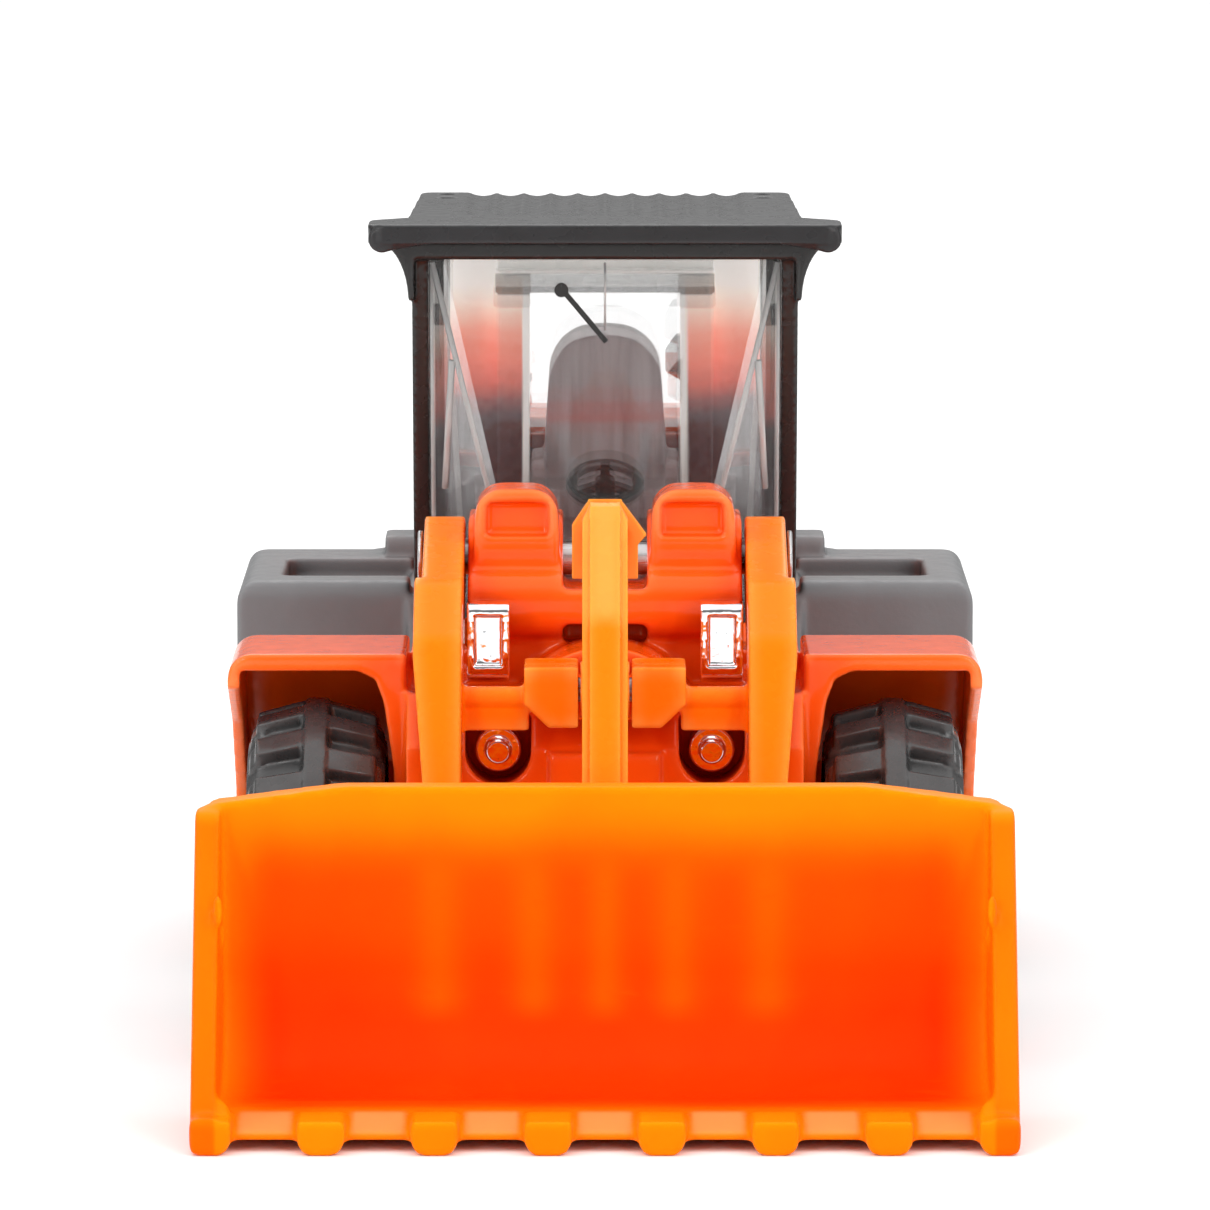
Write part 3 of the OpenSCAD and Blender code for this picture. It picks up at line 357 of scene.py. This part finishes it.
def cab_lining():
    """Lining, red at shoulder height, with painted light making it white towards the top and painted shade
    making it dark by the floor.
    """
    f = Finish("cab_lining", (0.7, 0.09, 0.03), 0.3)
    low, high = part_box("cab_bulkhead")
    wobble = f.math("MULTIPLY", f.math("SUBTRACT", f.noise(0.5, 2), 0.5), 0.9)
    height = f.ramp(f.math("ADD", f.z, wobble), low.z / MM, high.z / MM, smooth=False)
    # Painted light and shade up the height: dark by the floor and white at the top, with red at shoulder
    # height
    tone = f.colours(height, [
        (0.0, (0.03, 0.02, 0.022)),
        (0.45, (0.06, 0.036, 0.04)),
        (0.52, (0.13, 0.07, 0.075)),
        (0.58, (0.80, 0.15, 0.10)),
        (0.72, (0.94, 0.32, 0.22)),
        (0.79, (0.97, 0.78, 0.64)),
        (0.86, (0.98, 0.97, 0.93)),
    ])
    side = f.math("ABSOLUTE", f.x)
    front = f.ramp(f.y, 11.1, 11.0)
    # Painted highlight on the posts' inner edges, and painted shade darkening the header across them
    upward = f.math("MULTIPLY", front, f.ramp(f.z, 18, 24, 0.3, 1))
    edge = f.math("MULTIPLY", f.band(side, 3.2, 3.62), upward)
    tone = f.blend(edge, tone, (0.97, 0.97, 0.93))
    strip = f.math("MULTIPLY", f.band(side, -1, 4.85), f.band(f.z, 29.7, 30.65))
    tone = f.blend(f.math("MULTIPLY", strip, front), tone, (0.012, 0.011, 0.010))
    f.paint(tone)
    # Painted light: a faint glow all over, as if light from the back came through the thin moulding
    f.wire(f.shader, "Emission Color", tone)
    f.wire(f.shader, "Emission Strength", 0.22)
    f.roughen(f.noise(1.2), 0.2, 0.4)
    f.bump((f.noise(0.8, 2), 0.04), (f.noise(7, 3), 0.006))
    return f.material


def seat_plastic():
    """Matte seat moulding with a leather grain and a red band low on the backrest."""
    f = Finish("seat_plastic", (0.06, 0.05, 0.06), 0.4)
    pores = f.add("ShaderNodeTexVoronoi", Vector=f.mm, Scale=3.5).outputs["Distance"]
    folds = f.noise(0.9, 3, (2.5, 1, 0.25))
    body = f.blend(folds, (0.13, 0.105, 0.11), (0.42, 0.37, 0.37))
    red = f.math("MULTIPLY", f.ramp(f.z, 24.2, 24.6), f.ramp(f.z, 25.5, 25.0))
    f.paint(f.blend(f.math("MULTIPLY", red, 0.6), body, (0.45, 0.06, 0.05)))
    f.roughen(folds, 0.3, 0.5)
    f.bump((pores, 0.03), (folds, 0.12))
    return f.material


def red_lamp():
    """Red printed lamp with a moulded lens pattern."""
    f = Finish("tail_lamp_red", (0.5, 0.012, 0.01), 0.12, Coat_Weight=0.8, Coat_Roughness=0.03)
    cells = f.add("ShaderNodeTexVoronoi", Vector=f.mm, Scale=4).outputs["Distance"]
    f.paint(f.blend(cells, (0.62, 0.02, 0.015), (0.32, 0.005, 0.005)))
    f.bump((cells, 0.05))
    return f.material


def pale_floor():
    """Matte board with faint clouds."""
    f = Finish("pale_floor", (0.9, 0.9, 0.9), 0.65)
    f.paint(f.blend(f.noise(0.02, 2), (0.90, 0.90, 0.90), (0.93, 0.93, 0.93)))
    return f.material


ENAMEL = enamel()
ORANGE = orange_plastic()
BUCKET = bucket_plastic()
GREY = grey_plastic()
BLACK = black_plastic()
ROOF = roof_plastic()
CHROME = chrome()
STEEL = steel()
TYRE = tyre_plastic()
GLAZING = glazing()
EDGE = pane_edge_highlight()
LINING = cab_lining()
SEAT = seat_plastic()
RED = red_lamp()


# ---- Mesh tools ----

def add_object(name, data):
    piece = bpy.data.objects.new(name, data)
    scene.collection.objects.link(piece)
    return piece


def baked(piece):
    """The piece's mesh with its modifiers applied."""
    graph = bpy.context.evaluated_depsgraph_get()
    return bpy.data.meshes.new_from_object(piece.evaluated_get(graph))


def body_of(node):
    return next(body for body, members in BODIES.items() if node in members)


def skin(meshes, voxel, rounding, faces):
    """One closed skin round the meshes, its edges rounded as a mould leaves them.

    voxel is in millimetres, rounding counts smoothing passes, and faces is how many it keeps."""
    work = bmesh.new()
    for mesh in meshes:
        work.from_mesh(mesh)
    bmesh.ops.scale(work, vec=(1 / MM,) * 3, verts=work.verts)
    data = bpy.data.meshes.new("skin")
    work.to_mesh(data)
    work.free()
    piece = add_object("skin", data)
    remesh = piece.modifiers.new("skin", "REMESH")
    remesh.mode = "VOXEL"
    remesh.voxel_size = voxel
    remesh.use_smooth_shade = True
    smooth = piece.modifiers.new("rounding", "SMOOTH")
    smooth.factor = 0.5
    smooth.iterations = rounding
    piece.data = baked(piece)
    piece.modifiers.clear()
    thin = piece.modifiers.new("thin", "DECIMATE")
    thin.ratio = min(1, faces / max(1, 2 * len(piece.data.polygons)))
    piece.modifiers.new("normals", "WEIGHTED_NORMAL")
    data = baked(piece)
    bpy.data.objects.remove(piece)
    data.transform(Matrix.Scale(MM, 4))
    return data


def finish_piece(piece, node, material):
    """Puts a detailed piece in place of a CAD node: its finish and the body that it rides on."""
    piece.data.materials.clear()
    piece.data.materials.append(material)
    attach(piece, body_of(node))
    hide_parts(node)
    return piece


def moulded(node, material, voxel, rounding, faces, details=()):
    """Replaces a CAD node with its own shape, rounded and with details added."""
    data = skin([nodes[node].data, *details], voxel, rounding, faces)
    data.name = node + "_moulded"
    return finish_piece(add_object(node + "_moulded", data), node, material)


def dressed(node, material, edge=0.0):
    """Keeps a CAD node's own mesh, with a finish and, with edge in millimetres, rounded edges."""
    piece = nodes[node]
    for slot in piece.material_slots:
        slot.material = material
    if edge:
        weld = piece.modifiers.new("weld", "WELD")
        weld.merge_threshold = 0.002 * MM
        flat = piece.modifiers.new("flat", "DECIMATE")
        flat.decimate_type = "DISSOLVE"
        flat.angle_limit = math.radians(1)
        bevel = piece.modifiers.new("edge", "BEVEL")
        bevel.width = edge * MM
        bevel.segments = 2
        bevel.limit_method = "ANGLE"
        bevel.angle_limit = math.radians(40)
        bevel.harden_normals = True


def solid(build):
    """A mesh in metres from a function that fills a bmesh in millimetres."""
    work = bmesh.new()
    build(work)
    bmesh.ops.scale(work, vec=(MM,) * 3, verts=work.verts)
    data = bpy.data.meshes.new("detail")
    work.to_mesh(data)
    work.free()
    return data


def pebble(centre, size):
    """A small oval lump."""
    def build(work):
        bmesh.ops.create_icosphere(
            work, subdivisions=3, radius=1, matrix=Matrix.Translation(centre) @ Matrix.Diagonal((*size, 1))
        )
    return solid(build)


def bar(low, high):
    """A block between two corners, only ever used as stock inside a larger skin."""
    def build(work):
        centre = (Vector(low) + Vector(high)) / 2
        size = Vector(high) - Vector(low)
        bmesh.ops.create_cube(work, size=1, matrix=Matrix.Translation(centre) @ Matrix.Diagonal((*size, 1)))
    return solid(build)


def turned(profile, place, steps):
    """A solid of revolution. profile is (radius, height) points up the Z axis, which place then moves."""
    def build(work):
        rings = []
        for radius, height in profile:
            if radius == 0:
                rings.append([work.verts.new(place @ Vector((0, 0, height)))])
                continue
            turns = [2 * math.pi * i / steps for i in range(steps)]
            points = [Vector((radius * math.cos(t), radius * math.sin(t), height)) for t in turns]
            rings.append([work.verts.new(place @ point) for point in points])
        for lower, upper in zip(rings, rings[1:]):
            for i in range(steps):
                j = (i + 1) % steps
                around = ((lower, i), (lower, j), (upper, j), (upper, i))
                # A ring on the axis is one point, which then comes twice
                corners = dict.fromkeys(ring[k % len(ring)] for ring, k in around)
                work.faces.new(list(corners))
        bmesh.ops.recalc_face_normals(work, faces=work.faces)
    return solid(build)


def corners_of(node):
    """The low and high corners of a node's box, in millimetres."""
    low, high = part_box(node)
    return low / MM, high / MM


def points_of(mesh):
    """The mesh's vertices as rows of x, y and z, in millimetres."""
    co = np.empty(len(mesh.vertices) * 3, np.float32)
    mesh.vertices.foreach_get("co", co)
    return co.reshape(-1, 3).astype(float) / MM


def store(mesh, name, values):
    """Keeps a value for each vertex, for the material to read."""
    layer = mesh.attributes.new(name, "FLOAT", "POINT")
    layer.data.foreach_set("value", values.astype(np.float32))


def rise(value, low, high):
    """A smooth step from 0 at low to 1 at high."""
    t = np.clip((value - low) / (high - low), 0, 1)
    return t * t * (3 - 2 * t)


# ---- Bucket ----

def bucket_nubs(half):
    """Moulding nubs on the side walls, and the filled corners between them and the floor."""
    nubs = []
    for side in (-1, 1):
        for y, z, tall in ((-33.4, 9.0, 0.75), (-31.2, 7.6, 0.5)):
            nubs.append(pebble((side * (half - 1.0), y, z), (0.22, 0.28, tall)))
        nubs.append(pebble((side * (half - 0.95), -36.2, 1.5), (0.6, 0.5, 0.5)))
    return nubs


def bucket_depth(x, y, z, low, high):
    """How deep in the hollow each point lies, for painted shade: 0 at the rims and about 1 in the far
    corners, with some added on the side walls and teeth.
    """
    from_side = high.x - np.abs(x)
    depth = rise(from_side, 0.6, 3.4) * rise(high.z - z, 0.5, 4.2) * rise(y - low.y, 1.2, 5.5)
    depth *= 0.75 + 0.25 * rise(-z, -8.0, -3.0)
    side_walls = rise(-from_side, -1.1, -0.9) * rise(high.z - z, 0.8, 1.6)
    teeth = rise(-z, -1.4, -1.0)
    return depth + 0.32 * side_walls + 0.15 * teeth


def bucket_glow(x, z):
    """Upright bands of painted light on the back wall, between what stands behind it."""
    bands = ((0, 0.7), (2.85, 0.8), (-2.85, 0.8), (6.5, 0.9), (-6.7, 0.9))
    across = sum(np.exp(-((x - middle) / width) ** 2) for middle, width in bands)
    return across * rise(z, 3.6, 5.0) * rise(-z, -11.4, -9.5)


def bucket_lip(x, y, z, half):
    """Painted highlights on the cutting edge, between the teeth."""
    end = 0.7
    pitch = 2 * (half - end) / 7
    from_middle = np.abs(((x + half - end) / pitch) % 1 - 0.5) * pitch
    return rise(-from_middle, -1.15, -0.9) * rise(-np.abs(z - 1.05), -0.45, -0.2) * rise(-y, 34.8, 35.2)


def bucket_piece():
    low, high = corners_of("bucket")
    piece = moulded("bucket", BUCKET, 0.15, 8, 130000, bucket_nubs(high.x))
    x, y, z = points_of(piece.data).T
    # The bucket's finish turns these values into painted shade, painted light through the shell and painted
    # highlights on the lip
    store(piece.data, "depth", bucket_depth(x, y, z, low, high))
    store(piece.data, "glow", bucket_glow(x, z))
    store(piece.data, "lip", bucket_lip(x, y, z, high.x))


# ---- Front frame ----

def headlight(node, side):
    """A lamp with the stub of its runner on the outer side. side is 1 for +X and -1 for -X."""
    low, high = corners_of(node)
    outer = side * max(abs(low.x), abs(high.x))
    stub = bar((outer - 0.5, -14.9, 17.3), (outer + 0.02, -14.3, 18.4))
    moulded(node, CHROME, 0.05, 4, 12000, [stub])


def nose():
    moulded("front_frame", ENAMEL, 0.12, 5, 80000)
    dressed("front_base", GREY, 0.12)
    headlight("headlight_left", 1)
    headlight("headlight_right", -1)
    dressed("lift_rams", CHROME, 0.12)
    for node in ("lift_pin", "front_base_screw"):
        dressed(node, STEEL, 0.08)


# ---- Lift gear ----

def lift_gear():
    moulded("lift_arm", ORANGE, 0.1, 4, 60000)
    moulded("tilt_lever", ORANGE, 0.04, 3, 26000)
    moulded("tilt_link", ORANGE, 0.04, 3, 30000)
    for node in ("lever_pin", "link_top_pin", "link_bottom_pin", "bucket_pins"):
        dressed(node, STEEL, 0.06)


# ---- Wheels ----

def crown(mesh, centre, half, radius):
    """Rounds the tread off towards both shoulders, which end up lower than its middle."""
    shoulder_drop = 0.7
    places = points_of(mesh)
    across = (places[:, 0] - centre.x) / half
    spokes = places[:, 1:] - np.array([centre.y, centre.z])
    reach = np.linalg.norm(spokes, axis=1)
    drop = shoulder_drop * across ** 2 * rise(reach, radius - 2.6, radius - 0.6)
    places[:, 1:] -= spokes * (drop / reach)[:, None]
    mesh.vertices.foreach_set("co", (places * MM).ravel())
    mesh.update()


def shoulder_block(turn, row, half, radius):
    """A block at the outer end of a tread lug. row is -1 or 1, for one side of the tyre or the other."""
    lug_share = 0.52
    wide = math.pi * radius * lug_share / LUGS
    outline = (
        (radius - 0.5, row * (half - 0.75)), (radius - 0.75, row * (half - 0.12)),
        (radius - 1.75, row * (half - 0.06)), (radius - 1.9, row * (half - 0.75)),
    )

    def build(work):
        ends = [[work.verts.new(turn @ Vector((r, s * wide, w))) for r, w in outline] for s in (-1, 1)]
        work.faces.new(ends[0])
        work.faces.new(ends[1][::-1])
        for a in range(4):
            b = (a + 1) % 4
            work.faces.new([ends[0][a], ends[1][a], ends[1][b], ends[0][b]])
        bmesh.ops.recalc_face_normals(work, faces=work.faces)
    return solid(build)


def wheel(tyre_node, hub_node):
    low, high = corners_of(tyre_node)
    centre = (low + high) / 2
    side = 1 if centre.x > 0 else -1
    radius = (high.z - low.z) / 2
    half = (high.x - low.x) / 2
    facing = Matrix.Translation(centre) @ Matrix.Rotation(side * math.pi / 2, 4, "Y")
    shoulders = []
    for row, phase in ((-1, 0), (1, 0.5)):
        for i in range(LUGS):
            turn = facing @ Matrix.Rotation(2 * math.pi * (i + phase) / LUGS, 4, "Z")
            shoulders.append(shoulder_block(turn, row, half, radius))
    tyre = moulded(tyre_node, TYRE, 0.1, 3, 36000, shoulders)
    crown(tyre.data, centre, half, radius)
    moulded(hub_node, ENAMEL, 0.08, 3, 14000)


def wheels():
    for end in ("front", "rear"):
        for side in ("left", "right"):
            wheel(f"{end}_tyre_{side}", f"{end}_hub_{side}")
        dressed(f"{end}_axle", STEEL, 0.1)


# ---- Rear frame ----

def rear():
    moulded("rear_chassis", GREY, 0.13, 4, 70000)
    moulded("rear_body", ENAMEL, 0.12, 4, 60000)
    moulded("counterweight", GREY, 0.14, 5, 24000)
    dressed("rear_base", GREY, 0.12)
    dressed("rear_grille", BLACK, 0.05)
    for node in ("hood_vent_left", "hood_vent_right"):
        dressed(node, BLACK, 0.03)
    dressed("tail_lamps", RED, 0.12)
    for node in ("kingpin", "rear_base_screws"):
        dressed(node, STEEL, 0.08)
    dressed("exhaust_stack", CHROME, 0.08)
    dressed("air_precleaner", BLACK, 0.1)


# ---- Cab ----

def rod_between(start, end, radius):
    steps = 12
    along = Vector(end) - Vector(start)
    place = Matrix.Translation(start) @ along.to_track_quat("Z", "Y").to_matrix().to_4x4()
    return turned([(0, 0), (radius, 0), (radius, along.length), (0, along.length)], place, steps)


def join(name, meshes):
    """One smooth-shaded mesh from several."""
    work = bmesh.new()
    for mesh in meshes:
        work.from_mesh(mesh)
    data = bpy.data.meshes.new(name)
    work.to_mesh(data)
    work.free()
    data.shade_smooth()
    return data


def glass_edges():
    """Thin ribs painted white as a highlight where the clear panes meet, and along the parting line at the
    top of the windscreen.
    """
    low, high = corners_of("cab_glass")
    foot = low.z + 0.1
    head = high.z - 0.1
    side_pane = high.x - 0.12
    ribs = []
    for side in (-1, 1):
        top = (side * side_pane, low.y + 0.16, head)
        ribs.append(rod_between((side * 3.7, -2.0, foot), top, 0.12))
        ribs.append(rod_between((side * side_pane, 0.9, foot), top, 0.1))
        # A flow line up the corner pane, painted white as a highlight
        ribs.append(rod_between((side * 6.83, -0.98, 22.4), (side * 6.5, -2.55, 28), 0.15))
    ribs.append(rod_between((0, low.y + 0.13, 29.3), (0, low.y + 0.03, head), 0.05))
    piece = add_object("glass_edges", join("glass_edges", ribs))
    piece.data.materials.append(EDGE)
    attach(piece, "rear_frame")


def cab():
    moulded("cab_frame", BLACK, 0.1, 3, 50000)
    moulded("cab_roof", ROOF, 0.09, 3, 60000)
    dressed("cab_glass", GLAZING, 0.15)
    glass_edges()
    dressed("cab_bulkhead", LINING, 0.15)
    moulded("driver_seat", SEAT, 0.1, 8, 24000)
    for node in ("steering_wheel", "windscreen_wiper"):
        dressed(node, BLACK)


# ---- Studio ----

def studio_world():
    """White light from overhead, with dim grey sides. The camera itself sees white behind the floor."""
    world = bpy.data.worlds.new("studio")
    scene.world = world
    world.use_nodes = True
    tree = world.node_tree
    place = tree.nodes.new("ShaderNodeTexCoord")
    split = tree.nodes.new("ShaderNodeSeparateXYZ")
    tree.links.new(place.outputs["Generated"], split.inputs[0])

    def grade(axis, low, high, dark, bright, interpolation):
        node = tree.nodes.new("ShaderNodeMapRange")
        node.interpolation_type = interpolation
        tree.links.new(split.outputs[axis], node.inputs["Value"])
        for socket, value in (("From Min", low), ("From Max", high), ("To Min", dark), ("To Max", bright)):
            node.inputs[socket].default_value = value
        return node.outputs[0]

    def combine(operation, a, b):
        node = tree.nodes.new("ShaderNodeMath")
        node.operation = operation
        tree.links.new(a, node.inputs[0])
        tree.links.new(b, node.inputs[1])
        return node.outputs[0]

    overhead = grade("Z", 0.35, 0.75, 0, OVERHEAD_LIGHT, "SMOOTHSTEP")
    sides = grade("Y", -0.8, 0.9, 0.2, 0.32, "LINEAR")
    seen = tree.nodes.new("ShaderNodeLightPath").outputs["Is Camera Ray"]
    strength = combine("MAXIMUM", combine("ADD", overhead, sides), seen)
    background = tree.nodes["Background"]
    tree.links.new(strength, background.inputs["Strength"])
    background.inputs["Color"].default_value = (1, 1, 1, 1)


def area_light(name, place, width, height, watts):
    """A soft box that faces the toy. These lengths are in metres."""
    toy = Vector((0, 0, 0.015))
    data = bpy.data.lights.new(name, "AREA")
    data.shape = "RECTANGLE"
    data.size = width
    data.size_y = height
    data.energy = watts
    light = bpy.data.objects.new(name, data)
    light.location = place
    light.rotation_euler = (toy - Vector(place)).to_track_quat("-Z", "Y").to_euler()
    scene.collection.objects.link(light)


def lights():
    area_light("left", (-0.38, -0.22, 0.25), 0.2, 0.3, 0.5)
    area_light("right", (0.38, -0.22, 0.25), 0.2, 0.3, 0.5)
    area_light("back", (0, 0.45, 0.3), 0.4, 0.3, 0.4)
    area_light("strip_left", (-0.2, -0.45, 0.16), 0.04, 0.3, 0.5)
    area_light("strip_right", (0.2, -0.45, 0.16), 0.04, 0.3, 0.5)


def floor():
    """A pale floor, with its half width in metres."""
    half = 2.5
    data = bpy.data.meshes.new("floor")
    corners = [(-half, -half, 0), (half, -half, 0), (half, half, 0), (-half, half, 0)]
    data.from_pydata(corners, [], [(0, 1, 2, 3)])
    data.materials.append(pale_floor())
    plane = add_object("floor", data)


bucket_piece()
nose()
lift_gear()
wheels()
rear()
cab()
studio_world()
lights()
floor()
